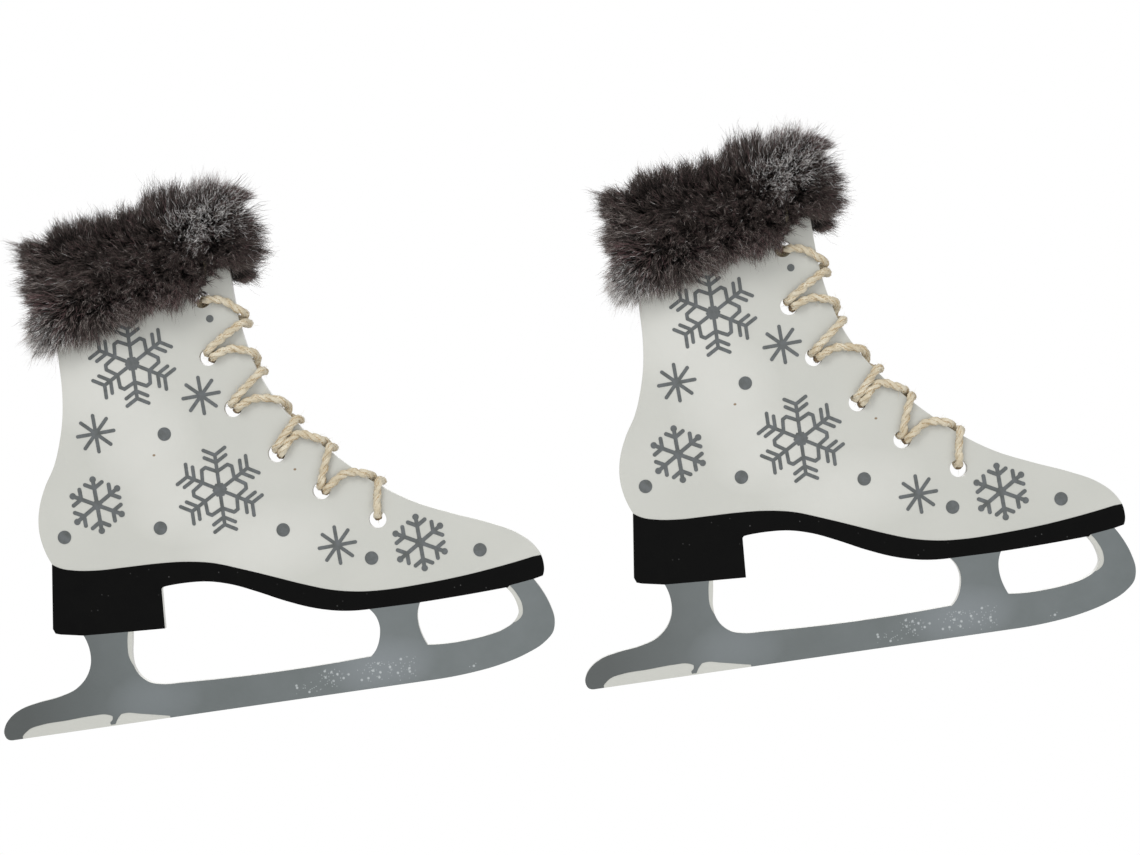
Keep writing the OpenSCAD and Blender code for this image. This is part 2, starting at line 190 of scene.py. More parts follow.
class Shades:
    """The nodes of one material, or of the world, built up call by call."""

    def __init__(self, name, kind=bpy.data.materials):
        self.owner = kind.new(name)
        self.owner.use_nodes = True
        self.tree = self.owner.node_tree
        self.tree.nodes.clear()

    def add(self, kind, inputs=None, **settings):
        """A shader node with its settings, and with its inputs fed by name or number."""
        node = self.tree.nodes.new("ShaderNode" + kind)
        for key, value in settings.items():
            setattr(node, key, value)
        for socket, value in (inputs or {}).items():
            self.feed(value, node.inputs[socket])
        return node

    def feed(self, value, target):
        """Sets a socket to a number or colour, or links it to another socket or to a node's first one."""
        if isinstance(value, bpy.types.Node):
            value = value.outputs[0]
        if isinstance(value, bpy.types.NodeSocket):
            self.tree.links.new(value, target)
        elif isinstance(value, tuple) and len(value) == 3 and len(target.default_value) == 4:
            target.default_value = (*value, 1.0)
        else:
            target.default_value = value

    def math(self, operation, a, b=0.0, clamp=False):
        return self.add("Math", {0: a, 1: b}, operation=operation, use_clamp=clamp).outputs[0]

    def times(self, a, b):
        return self.math("MULTIPLY", a, b)

    def vector_math(self, operation, a, b=(0.0, 0.0, 0.0)):
        node = self.add("VectorMath", {0: a, 1: b}, operation=operation)
        return node.outputs["Value" if operation in ("LENGTH", "DISTANCE") else "Vector"]

    def span(self, value, low, high, to_low=0.0, to_high=1.0):
        """value from low to high becomes to_low to to_high, clamped at both ends."""
        numbers = dict(enumerate((value, low, high, to_low, to_high)))
        return self.add("MapRange", numbers, clamp=True).outputs[0]

    def mix(self, share, a, b):
        """Colour a, or b where share is 1."""
        return self.add("Mix", {0: share, 6: a, 7: b}, data_type="RGBA").outputs[2]

    def noise(self, where, scale, detail=2.0, roughness=0.5):
        inputs = {"Vector": where, "Scale": scale, "Detail": detail, "Roughness": roughness}
        return self.add("TexNoise", inputs).outputs["Fac"]

    def parts(self, vector):
        """A vector's three numbers, as outputs X, Y and Z."""
        return self.add("SeparateXYZ", {0: vector}).outputs

    def scaled(self, vector, scale):
        """A vector with each axis scaled."""
        return self.vector_math("MULTIPLY", vector, scale)

    def skate_place(self, side):
        """The place on the skate in millimetres, as (u, y, w)."""
        origin, axes = skate_axes(side)
        coordinates = self.add("TexCoord").outputs["Object"]
        shift = self.vector_math("SUBTRACT", coordinates, tuple(origin))
        inputs = {"Vector": shift, "Angle": math.atan2(axes[0][2], axes[0][0])}
        turn = self.add("VectorRotate", inputs, rotation_type="Y_AXIS")
        place = self.scaled(turn, (1 / MM, 1 / MM, 1 / MM))
        return self.vector_math("ADD", place, (FOOT_U, 0.0, 0.0))

    def patch(self, place, middle, reach):
        """1 at the middle (u, w), and 0 from reach along u and w onwards."""
        shift = self.vector_math("SUBTRACT", place, (middle[0], 0.0, middle[1]))
        distance = self.vector_math("LENGTH", self.scaled(shift, (1 / reach[0], 0.0, 1 / reach[1])))
        return self.math("SUBTRACT", 1.0, self.times(distance, distance), clamp=True)

    def flecks(self, place, per_mm, size):
        """Round dots of that radius in millimetres, one to a cell, and each cell's random number."""
        parts = self.parts(place)
        flat = self.add("CombineXYZ", {"X": parts["X"], "Y": parts["Z"]})
        cells = self.add("TexVoronoi", {"Vector": flat, "Scale": per_mm}, voronoi_dimensions="2D")
        draw = self.parts(cells.outputs["Color"])["X"]
        reach = size * per_mm
        return self.span(cells.outputs["Distance"], 0.5 * reach, reach, 1.0, 0.0), draw

    def principled(self, roughness, colour, specular=0.5, sheen=0.0, normal=None):
        inputs = {"Roughness": roughness, "Base Color": colour, "Specular IOR Level": specular}
        inputs["Sheen Weight"] = sheen
        if normal is not None:
            inputs["Normal"] = normal
        return self.add("BsdfPrincipled", inputs)

    def bump(self, height, distance, strength=1.0):
        inputs = {"Strength": strength, "Distance": distance, "Height": height}
        return self.add("Bump", inputs).outputs[0]

    def finish(self, surface):
        self.add("OutputMaterial", {"Surface": surface})
        return self.owner

    def coat(self, *args, **settings):
        """The finished material, with nothing but a principled surface."""
        return self.finish(self.principled(*args, **settings))


# ---- Materials of the board and its printing ----

# Where two colours stand together, noise clouds the surface between them
PAINT = ((0.515, 0.517, 0.475), (0.55, 0.55, 0.506))
# Painted sheen: the whiter colour of front places that stand in for soft reflections of the lights
PAINT_SHEEN_WHITE = (0.635, 0.632, 0.59)
PAINT_DUST = (0.42, 0.41, 0.36)
# The cut edge: its fibres are real, and its paleness over the face paint is painted light on the side walls
CUT_EDGE_FIBRES_AND_LIGHT = ((0.72, 0.712, 0.66), (0.86, 0.852, 0.81))
SPECK_BROWN = (0.24, 0.17, 0.1)
SPECK_REACH = (0.7, 0.55)
BOARD_SPECKS = ((128.5, 91.2), (73.5, 104.8))
# Places as (u, w), how far they reach along u and w, and a strength
PAINTED_SHEEN_PATCHES = (
    ((56, 134), (26, 20), 0.8), ((70, 110), (24, 24), 0.8),
    ((84, 84), (26, 18), 0.7), ((112, 64), (36, 18), 0.7),
)
# Painted sheen on the blade: paler places that stand in for reflections of the lights
BLADE_SHEEN_PATCHES = (((60, 8), (20, 12), 0.5), ((151, 9), (24, 12), 0.9))
CHIPPED_PATCHES = (
    ((131, 6.5), (8, 4.5)), ((149, 6.5), (11, 5)), ((161, 6), (7, 6)), ((121, 4), (7, 3)),
    ((187.5, 4), (2, 2)),
)
# For each size of chip: cells in a millimetre, radius, the most of the cells that are chipped, and strength
CHIPS = ((1.1, 0.3, 0.4, 0.45), (0.42, 0.62, 0.45, 0.72))
CHIP_GREY = (0.5, 0.53, 0.53)
BLADE_GREY = ((0.127, 0.145, 0.145), (0.145, 0.163, 0.165))
# The colour of the blade's painted sheen
BLADE_SHEEN_GREY = (0.195, 0.216, 0.226)
# Painted shade darkens the blade's rear and its tail: the colour, how much of it, and the u where it is full
# and gone
BLADE_PAINTED_SHADE = (((0.09, 0.102, 0.1), 0.35, 90.0, 150.0), ((0.072, 0.08, 0.078), 1.0, 8.0, 52.0))
# For each print its two tones, its clouds' size, its roughness, its specular level and how far pinholes show
PRINTS = {
    "motif_grey": (((0.078, 0.085, 0.08), (0.128, 0.138, 0.144)), 2.6, 0.5, 0.4, 0.0),
    "sole_black": (((0.003, 0.003, 0.003), (0.0042, 0.0042, 0.004)), 6.0, 0.55, 0.04, 0.4),
}
PINHOLES = (0.4, 0.3, 0.96)  # cells in a millimetre, radius, and the share of the cells with none
PINHOLE_GREY = (0.2, 0.2, 0.195)


def paint_material(side):
    """Satin off-white paint with a pale fibrous cut edge, paler than the face partly as painted light, and,
    in front, painted sheen in whiter places and brown specks.
    """
    shades = Shades(side + "_paint")
    place = shades.skate_place(side)
    cloud = shades.span(shades.noise(place, 0.03, 2.0), 0.3, 0.7)
    colour = shades.mix(cloud, *PAINT)
    in_front = shades.math("LESS_THAN", shades.parts(place)["Y"], 0.0)
    # Painted sheen: whiter places on the front face stand in for reflections of the lights in the satin paint
    for middle, reach, strength in PAINTED_SHEEN_PATCHES:
        share = shades.times(shades.patch(place, middle, reach), strength)
        colour = shades.mix(shades.times(share, in_front), colour, PAINT_SHEEN_WHITE)
    dust = shades.span(shades.noise(place, 2.4, 3.0, 0.7), 0.66, 0.8, 0.0, 0.35)
    colour = shades.mix(dust, colour, PAINT_DUST)
    for spot in BOARD_SPECKS:
        dot = shades.span(shades.patch(place, spot, SPECK_REACH), 0.0, 0.6)
        colour = shades.mix(shades.times(dot, in_front), colour, SPECK_BROWN)
    # Side walls: real fibres, with extra paleness over the face paint that is painted light
    facing = shades.add("TexCoord").outputs["Normal"]
    sideways = shades.vector_math("LENGTH", shades.scaled(facing, (1.0, 0.0, 1.0)))
    edge = shades.span(sideways, 0.75, 0.95)
    fibres = shades.noise(shades.scaled(place, (0.5, 3.5, 0.5)), 1.0, 4.0, 0.7)
    lit_edge_colour = shades.mix(shades.span(fibres, 0.3, 0.7), *CUT_EDGE_FIBRES_AND_LIGHT)
    colour = shades.mix(edge, colour, lit_edge_colour)
    grain = shades.noise(shades.scaled(place, (1.0, 1.0, 1.6)), 1.3, 4.0, 0.6)
    height = shades.math("ADD", grain, shades.times(edge, fibres))
    roughness = shades.span(shades.noise(place, 0.12, 3.0), 0.3, 0.7, 0.36, 0.48)
    return shades.coat(roughness, colour, 0.45, normal=shades.bump(height, 0.00004, 0.5))


def print_ink(side, name):
    """Screen-printed ink between two tones, with paler pinholes where it has any."""
    tones, cloud_size, roughness, specular, pinholes = PRINTS[name]
    shades = Shades(f"{side}_{name}")
    place = shades.skate_place(side)
    cloud = shades.span(shades.noise(place, 1 / cloud_size, 3.0, 0.6), 0.3, 0.7)
    colour = shades.mix(cloud, *tones)
    grain = shades.noise(place, 3.0, 3.0, 0.7)
    if pinholes:
        per_mm, size, whole = PINHOLES
        dot, draw = shades.flecks(place, per_mm, size)
        pinhole = shades.times(dot, shades.span(draw, whole, 1.0, 0.0, pinholes))
        colour = shades.mix(pinhole, colour, PINHOLE_GREY)
    rough = shades.span(cloud, 0.0, 1.0, roughness - 0.05, roughness + 0.05)
    return shades.coat(rough, colour, specular, normal=shades.bump(grain, 0.00003, 0.4))


def blade_ink(side):
    """Mid grey, with painted shade towards the tail, paler places of painted sheen and small pale chips."""
    shades = Shades(side + "_blade_grey")
    place = shades.skate_place(side)
    along = shades.parts(place)["X"]
    cloud = shades.span(shades.noise(place, 0.08, 3.0, 0.6), 0.3, 0.7)
    colour = shades.mix(cloud, *BLADE_GREY)
    # Painted shade towards the rear and the tail
    for shade_colour, strength, full, gone in BLADE_PAINTED_SHADE:
        colour = shades.mix(shades.span(along, full, gone, strength, 0.0), colour, shade_colour)
    # Painted sheen in paler places
    for middle, reach, strength in BLADE_SHEEN_PATCHES:
        share = shades.times(shades.patch(place, middle, reach), strength)
        colour = shades.mix(share, colour, BLADE_SHEEN_GREY)
    for per_mm, size, most, strength in CHIPS:
        dot, draw = shades.flecks(place, per_mm, size)
        for middle, reach in CHIPPED_PATCHES:
            level = shades.span(shades.patch(place, middle, reach), 0.0, 1.0, 0.0, most)
            kept = shades.span(shades.math("SUBTRACT", level, draw), 0.0, 0.1)
            chip = shades.times(shades.times(dot, kept), strength)
            colour = shades.mix(chip, colour, CHIP_GREY)
    grain = shades.noise(place, 2.5, 3.0, 0.7)
    return shades.coat(0.42, colour, 0.45, normal=shades.bump(grain, 0.00003, 0.4))


GLUE_AMBER = ((0.5, 0.4, 0.22), (0.62, 0.54, 0.36))
KNIT_DARK = ((0.012, 0.01, 0.008), (0.06, 0.048, 0.04))
# For the ribs and the rows of the knit: their direction, their scale and how uneven they are
KNIT_WAVES = (("X", 0.55, 1.2), ("Z", 0.8, 0.8))
JUTE_STRAW = ((0.58, 0.495, 0.345), (0.75, 0.688, 0.545))
JUTE_TAN = (0.42, 0.31, 0.18)


def glue_material():
    """Pale amber hot-melt glue, waxy and uneven."""
    shades = Shades("glue_amber")
    where = shades.add("TexCoord").outputs["Object"]
    lumps = shades.noise(where, 260.0, 2.0)
    colour = shades.mix(lumps, *GLUE_AMBER)
    return shades.coat(0.3, colour, 0.5, normal=shades.bump(lumps, 0.0003))


def cloth_material(side):
    """Dark knitted backing cloth: small ribs up the strip, crossed by rows of stitches."""
    shades = Shades(side + "_backing_knit")
    place = shades.skate_place(side)
    waves = []
    for direction, scale, distortion in KNIT_WAVES:
        inputs = {"Vector": place, "Scale": scale, "Distortion": distortion}
        wave = shades.add("TexWave", inputs, wave_type="BANDS", bands_direction=direction)
        waves.append(wave.outputs["Fac"])
    knit = shades.times(*waves)
    colour = shades.mix(knit, *KNIT_DARK)
    return shades.coat(0.9, colour, 0.2, sheen=0.2, normal=shades.bump(knit, 0.0003))


def jute_material():
    """Natural jute: pale straw fibres over darker tan."""
    shades = Shades("jute_twine")
    where = shades.add("TexCoord").outputs["Object"]
    patches = shades.span(shades.noise(where, 260.0, 3.0), 0.32, 0.68)
    colour = shades.mix(patches, *JUTE_STRAW)
    fibres = shades.noise(where, 2600.0, 3.0, 0.7)
    colour = shades.mix(shades.span(fibres, 0.45, 0.75, 0.0, 0.5), colour, JUTE_TAN)
    return shades.coat(0.75, colour, 0.25, sheen=0.25, normal=shades.bump(fibres, 0.00012))


def plain_hair(name, colour, roughness=0.55):
    """One plain colour, for hairs and fibres too thin to show a texture."""
    return Shades(name).coat(roughness, colour, 0.3)


# ---- Building meshes ----


def new_piece(name, side, points, face_groups, materials, tones=None):
    """A smooth mesh of points (u, y, w), from arrays of faces and each face's material number."""
    mesh = bpy.data.meshes.new(name)
    corners = np.concatenate([faces.ravel() for faces in face_groups])
    sizes = np.concatenate([np.full(len(faces), faces.shape[1]) for faces in face_groups])
    mesh.vertices.add(len(points))
    mesh.vertices.foreach_set("co", to_frame(points, side).astype(np.float32).ravel())
    mesh.loops.add(len(corners))
    mesh.loops.foreach_set("vertex_index", corners.astype(np.int32))
    mesh.polygons.add(len(sizes))
    mesh.polygons.foreach_set("loop_start", (np.cumsum(sizes) - sizes).astype(np.int32))
    mesh.polygons.foreach_set("use_smooth", np.ones(len(sizes), bool))
    for material in materials:
        mesh.materials.append(material)
    if tones is not None:
        mesh.polygons.foreach_set("material_index", tones.astype(np.int32))
    mesh.update(calc_edges=True)
    return new_object(name, mesh)


def around(angle, first, second):
    """The direction at each angle between two that are square to each other."""
    return np.cos(angle)[..., None] * first + np.sin(angle)[..., None] * second


ASKEW = (0.31, 0.52, 0.79)  # any direction that hairs hardly ever take


def unit(vectors):
    return vectors / np.maximum(np.linalg.norm(vectors, axis=-1, keepdims=True), 1e-9)


def lengths_along(line):
    """How far along a line each of its points is."""
    return np.concatenate([[0], np.cumsum(np.linalg.norm(np.diff(line, axis=0), axis=1))])


def evenly(line, run, count):
    """The same line with its points evenly spaced."""
    at = np.linspace(0, run[-1], count)
    return np.stack([np.interp(at, run, column) for column in line.T], axis=1)


def hairs(paths, radii, sides=3):
    """Tapered hairs along paths[n, k], closed at the root and pointed at the tip.

    Returns the points, the face groups and, for each face, its hair and its step along it.
    """
    count, steps = paths.shape[:2]
    along = unit(np.gradient(paths, axis=1))
    whole = unit(paths[:, -1] - paths[:, 0])
    across = unit(np.cross(whole, ASKEW))[:, None]
    first = unit(across - (across * along).sum(2, keepdims=True) * along)
    second = np.cross(along, first)
    angles = np.arange(sides) * 2 * math.pi / sides
    turned = around(angles, first[:, :-1, None], second[:, :-1, None])
    rings = paths[:, :-1, None] + radii[:, :-1, None, None] * turned
    points = np.concatenate([rings.reshape(count, -1, 3), paths[:, -1:]], axis=1)
    start = (np.arange(count) * points.shape[1])[:, None]
    low = np.arange((steps - 2) * sides)
    nxt = low - low % sides + (low + 1) % sides
    quads = np.stack([start + low, start + nxt, start + nxt + sides, start + low + sides], axis=-1)
    last = (steps - 2) * sides
    rim = last + np.arange(sides)
    tips = np.stack([start + rim, start + np.roll(rim, -1), start + last + sides + 0 * rim], axis=-1)
    caps = start + np.arange(sides)[::-1]
    each = np.arange(count)
    owner = np.concatenate([np.repeat(each, len(low)), np.repeat(each, sides), each])
    step = np.concatenate([
        np.tile(np.repeat(np.arange(steps - 2), sides), count), np.full(count * sides, steps - 2), 0 * each,
    ])
    groups = [quads.reshape(-1, 4), tips.reshape(-1, 3), caps.reshape(-1, sides)]
    return points.reshape(-1, 3), groups, owner, step


# ---- The cuff: its cloth strip and its fur ----

SEAM = (104.0, 105.5)  # the strip's two ends meet in front, between these
TRIM = ((104.0, 171.5), (118.0, 181.0))  # the front end is cut off below this line
BACKING_T = 1.0  # how thick the cloth is
CLOTH_CORNER = 1.2  # the radius of its bends round the shaft's edges
BEND_STEPS = 6
CLOTH_GRID = (180, 26)  # how many points it has along and up
PILE = 12.5  # how long the pile's top hairs are


class Strip:
    """Where the cuff's strip lies, from the CAD: its outer faces, and its foot and head lines."""

    def __init__(self, side):
        points = node_points(side + "_cuff_backing")
        self.rear, self.front = points[:, 0].min(), points[:, 0].max()
        self.out = points[:, 1].max()
        at_rear = points[points[:, 0] < self.rear + 0.1]
        at_front = points[points[:, 0] > self.front - 0.1]
        self.feet = at_rear[:, 2].min(), at_front[:, 2].min()
        self.heads = at_rear[:, 2].max(), at_front[:, 2].max()

    def foot(self, u, in_front):
        line = np.interp(u, (self.rear, self.front), self.feet)
        slope = (TRIM[1][1] - TRIM[0][1]) / (TRIM[1][0] - TRIM[0][0])
        trimmed = TRIM[0][1] + (u - TRIM[0][0]) * slope
        cut = np.logical_and(in_front, np.asarray(u) > SEAM[0])
        return np.where(cut, np.maximum(line, trimmed), line)

    def head(self, u):
        return np.interp(u, (self.rear, self.front), self.heads)


def smooth_noise(rng, points, size, count=14):
    """A smooth field of two numbers from about -1 to 1 over (u, w) points, with humps of that size."""
    turn = rng.uniform(0, 2 * math.pi, count)
    pace = rng.uniform(0.6, 1.6, count) * 2 * math.pi / (2 * size)
    waves = np.stack([np.cos(turn), np.sin(turn)]) * pace
    phase = rng.uniform(0, 2 * math.pi, (2, count))
    inside = points @ waves
    return np.stack([np.sin(inside + p).sum(1) for p in phase], axis=1) / math.sqrt(count / 2)


def make_cloth(side, strip):
    """The strip, wrapped round the shaft, as a closed sheet. Returns it and its flat size in metres."""
    corner = CLOTH_CORNER
    flat_y = strip.out - BACKING_T / 2
    rear, front = strip.rear + BACKING_T / 2, strip.front - BACKING_T / 2
    loop = [(SEAM[1], -flat_y)]
    for u, y, start in (
        (front - corner, -flat_y + corner, -90), (front - corner, flat_y - corner, 0),
        (rear + corner, flat_y - corner, 90), (rear + corner, -flat_y + corner, 180),
    ):
        bend = np.radians(np.linspace(0, 90, BEND_STEPS)) + math.radians(start)
        loop += [(u + corner * math.cos(angle), y + corner * math.sin(angle)) for angle in bend]
    loop += [(SEAM[0], -flat_y)]
    line = np.array(loop)
    run = lengths_along(line)
    line = evenly(line, run, CLOTH_GRID[0])
    tangent = unit(np.gradient(line, axis=0))
    outward = np.stack([tangent[:, 1], -tangent[:, 0]], axis=1)
    up = np.linspace(0, 1, CLOTH_GRID[1])
    foot = strip.foot(line[:, 0], line[:, 1] < -BACKING_T / 2)
    head = strip.head(line[:, 0])
    w = foot[:, None] + (head - foot)[:, None] * up
    layers = []
    for shift in (BACKING_T / 2, -BACKING_T / 2):
        edge = np.repeat((line + shift * outward)[:, None], len(up), axis=1)
        layers.append(np.stack([edge[..., 0], edge[..., 1], w], axis=2))
    number = np.arange(2 * w.size).reshape(2, *w.shape)

    def skin(grid):
        return np.stack([grid[:-1, :-1], grid[1:, :-1], grid[1:, 1:], grid[:-1, 1:]], axis=-1).reshape(-1, 4)

    rims = (
        (number[1, :, 0], number[0, :, 0]), (number[0, :, -1], number[1, :, -1]),
        (number[0, 0], number[1, 0]), (number[1, -1], number[0, -1]),
    )
    sides = [skin(np.stack(rim, axis=1)) for rim in rims]
    faces = np.concatenate([skin(number[0]), skin(number[1])[:, ::-1], *sides])
    points = np.concatenate([layer.reshape(-1, 3) for layer in layers])
    cloth = new_piece(side + "_cuff_cloth", side, points, [faces], [cloth_material(side)])
    flat = (run[-1] * MM, float((head - foot).mean()) * MM)
    return cloth, flat


# Where the pile's tips end: above, below in front and below behind as (u, w), past the front edge as (w, u)
CROWN = (
    (30, 195), (36, 196), (42, 199), (48, 201.5), (56, 203), (67, 204.5), (73, 206.5), (81, 207.5),
    (87, 211.3), (91, 214.8), (96, 216.4), (99, 214.8), (104, 212.3), (111, 211.3), (118, 208.3), (124, 204),
)
HEM = (
    (30, 151), (35, 149), (40, 149.5), (44, 154), (49, 150.5), (54, 153), (63, 157.5), (69, 161), (75, 161.5),
    (81, 159), (85, 161), (98, 163), (101, 164), (104, 169.5), (106, 171), (112, 173.5), (116, 172),
)
BACK_HEM = ((30, 149), (42, 151), (80, 159), (98, 163), (106, 167.5), (112, 170), (116, 169.5), (122, 168))
TOE_EDGE = (
    (160, 118), (168, 121), (174, 126.5), (178, 130.5), (184, 130.5), (197, 129), (203, 125), (212, 117.5),
)
TOE_CROWN = 5.5  # how far the tips of hairs on the front edge rise above the cloth
REAR_EDGE = 31.3  # the u that the pile reaches behind
REAR_LEAN, TOE_LEAN = 8.0, 4.5  # how far in from the rear and from the front edge hairs lean out
FUR_DEPTH = 20.0  # no tip stands out further than this from the middle of the board
DEPTH_EASE = 4.0  # over this much before it they are held back
# Locks that the pile is combed into: (u, w), how far the comb reaches, and the push along u and w
COMB = (
    ((38, 188), (9, 9), (-2.2, 0.4)), ((50, 180), (16, 8), (-5.5, 0.6)), ((80, 184), (16, 10), (-3.2, 0.8)),
    ((46, 160), (8, 7), (-1.5, -3.5)), ((66, 163), (8, 6), (2.4, -3.2)), ((90, 170), (10, 5), (0.8, -2.4)),
    ((100, 169), (5, 7), (-2.6, -0.6)), ((108, 205), (8, 6), (0.8, 1.8)), ((113, 181), (4, 5), (2.6, -3.6)),
)
WHORL = ((54, 169), (9, 7), 5.76)  # hairs fall away from this place on all sides
RUFFLE = ((106, 195), (11, 9), 2.4)  # short locks, this size, point every way here
RUFFLE_SIZE = 1.5
DRIFT = ((1.3, 5.0), (0.9, 13.0))  # how far tips drift together everywhere, and over what distance
# Where hairs in front are shorter, and by what share
SHORTER = (((103, 170), (6, 5), 0.35), ((88, 165), (9, 4), 0.2))
SEAM_LEAN, SEAM_WIDTH = 3.2, 3.5  # how far tips beside the seam reach over it, and how near to it they root
SEAM_CLOSED = ((171, 180), (-0.4, 1))  # by w, the share of the lean: at the seam's foot the tips part
# Where the pile has each look: (u, w), and how far it reaches along u and w
LOOKS = {
    "frost": (((109.5, 198), (5, 6)), ((109, 196.5), (4, 5)), ((104, 192.5), (7, 6))),
    "ashen": (((40.5, 160), (4.5, 6)), ((41, 157), (6, 4))),
    "dusty": (((42, 162), (9, 6)), ((38, 178), (7, 12)), ((62, 164), (18, 5)), ((88, 167), (14, 4))),
    "dusk": (((120, 188), (9, 16)), ((70, 186), (22, 10))),
    "blush": (
        ((92, 165), (16, 5)), ((111, 205), (9, 5)), ((44, 168), (7, 4)), ((125, 180), (6, 7)),
        ((88, 208), (8, 5)),
    ),
}
# For each tone of hair its middle colour, its tip colour and how likely it is: anywhere, and more where the
# pile has a look and on the shaded crest, the cloth's top quarter, whose darker hairs are painted shade
TONES = {
    "night": ((0.018, 0.014, 0.013), (0.06, 0.047, 0.042), {"any": 0.4, "shaded_crest": 0.4, "dusk": 0.6}),
    "umber": ((0.034, 0.027, 0.024), (0.165, 0.13, 0.117), {"any": 0.38}),
    "plum": ((0.046, 0.029, 0.029), (0.23, 0.143, 0.143), {"any": 0.08, "blush": 0.9}),
    "ash": (
        (0.08, 0.07, 0.065), (0.47, 0.415, 0.385),
        {"any": 0.08, "ashen": 1.6, "frost": 0.35, "dusty": 0.62},
    ),
    "silver": ((0.26, 0.247, 0.237), (0.96, 0.945, 0.925), {"any": 0.012, "ashen": 5.5, "frost": 2.0}),
}
PALE = 3  # from this tone on, only the last of a hair is pale
ROOT_COLOUR = (0.01, 0.008, 0.007)


def fur_materials():
    """The shade at the roots, then for each tone of hair its middle and its tip."""
    made = [plain_hair("fur_root", ROOT_COLOUR, 0.7)]
    for name, (middle, tip, _) in TONES.items():
        made.append(plain_hair(f"fur_{name}_middle", middle))
        made.append(plain_hair(f"fur_{name}_tip", tip))
    return made


def near(points, middle, reach):
    """A soft hump over (u, w) points: 1 in the middle, about a third at reach."""
    return np.exp(-(((points - middle) / reach) ** 2).sum(1))


def along_edge(edge, at):
    """An edge's height at each place along it."""
    places, values = zip(*edge)
    return np.interp(at, places, values)


RIM_BAND = 0.24  # hairs of the rims root within this share of the cloth's height from its foot or head
EDGE_FAN = math.radians(70)  # how far hairs fan out round the shaft's narrow edges
SEAM_MARGIN = 0.2  # no hair in front roots nearer to the gap than this
STEEPNESS = ((80, 96), (1.5, 2.3))  # by u: how late up the strip hairs begin to reach for the outline


def sow(rng, strip, zone, count, rim_share):
    """Root points (u, y, w), outward directions and heights up the strip for count hairs in one zone."""
    up = rng.uniform(0, 1, count)
    rim = rng.uniform(0, 1, count) < rim_share
    up = np.where(rim, np.where(up < 0.5, RIM_BAND * up, 1 - RIM_BAND * (1 - up)), up)
    if zone in ("front", "back"):
        u = rng.uniform(strip.rear, strip.front, count)
        y = np.full(count, -strip.out if zone == "front" else strip.out)
        normal = np.stack([np.zeros(count), np.sign(y), np.zeros(count)], axis=1)
    else:
        y = rng.uniform(-strip.out, strip.out, count)
        way = -1 if zone == "rear" else 1
        u = np.full(count, strip.rear if zone == "rear" else strip.front)
        lean = y / strip.out * EDGE_FAN
        normal = np.stack([way * np.cos(lean), np.sin(lean), np.zeros(count)], axis=1)
    if zone == "front":
        nearest = np.where(u < np.mean(SEAM), SEAM[0] - SEAM_MARGIN, SEAM[1] + SEAM_MARGIN)
        u = np.where((u > SEAM[0]) & (u < SEAM[1]), nearest, u)
    foot = strip.foot(u, y < 0)
    w = foot + up * (strip.head(u) - foot)
    return np.stack([u, y, w], axis=1), normal, up


def reach_of(strip, zone, roots, up, noise):
    """How far each tip lies from its root along u and w, so that the pile fills its outline."""
    u, w = roots[:, 0], roots[:, 2]
    flat = roots[:, [0, 2]]
    rise = 2 * up - 1
    lean = (REAR_EDGE - strip.rear) * np.exp(-(u - strip.rear) / REAR_LEAN)
    over = along_edge(CROWN, u + lean) - strip.head(u)
    under = strip.foot(u, roots[:, 1] < 0) - along_edge(HEM if zone == "front" else BACK_HEM, u + lean)
    if zone == "toe":
        over = np.full(len(u), TOE_CROWN)
    steep = np.interp(u, *STEEPNESS)
    climb = np.where(rise > 0, over, -under) * np.abs(rise) ** steep
    shift = np.zeros(len(roots))
    if zone in ("front", "back"):
        past = along_edge(TOE_EDGE, w + climb) - strip.front
        shift = lean + past * np.exp(-(strip.front - u) / TOE_LEAN)
    reach = np.stack([shift, climb], axis=1)
    if zone == "front":
        past = u - np.mean(SEAM)
        closed = np.interp(w, *SEAM_CLOSED)
        reach[:, 0] -= SEAM_LEAN * closed * np.sign(past) * np.exp(-((past / SEAM_WIDTH) ** 2))
        for middle, size, push in COMB:
            reach += near(flat, middle, size)[:, None] * push
        middle, size, strength = RUFFLE
        reach += strength * near(flat, middle, size)[:, None] * noise(flat, RUFFLE_SIZE)
        middle, size, strength = WHORL
        away = (flat - middle) / size
        reach += strength * away * near(flat, middle, size)[:, None]
    for strength, size in DRIFT:
        reach += strength * noise(flat, size)
    return reach


# For each zone its share of the hairs, its area in square mm and, as shares of a hair's length, how far hairs
# may lie over and how far they stand up at least
FUR_ZONES = {
    "front": (1.0, 2450, 1.1, 0.28),
    "back": (0.62, 2450, 1.1, 0.28),
    "rear": (0.3, 750, 0.95, 0.72),
    "toe": (0.3, 800, 0.95, 0.28),
}
HAIR_SHARES = np.array([0.0, 0.42, 0.63, 0.79, 0.9, 1.0])  # where along a hair its points are
HAIR_TAPER = np.array([1.0, 1.0, 1.0, 0.85, 0.6, 0.0])  # and how thick it is there
HAIR_LENGTHS = (0.76, 1.1)  # times its coat's length
HAIR_WIDTHS = (0.7, 1.25)  # times its coat's radius
LENGTH_DRIFT = (0.06, 11.0)  # how much lengths drift together, and over what distance
# How far tips stray, how hairs bend and how they wave: for each tuft as a whole, then for each hair in it
STRAY, BEND, WAVE = (1.1, 1.0), (0.8, 0.55), (0.35, 0.25)
CRIMP = 0.3
CLUMPING = (0.4, 1.3)  # times its coat's
MOST_CLUMPED = 0.8
DROOP_FROM = 0.82  # above this share of the cloth's height hairs may droop back over its head
DROOP = (-0.35, 1)


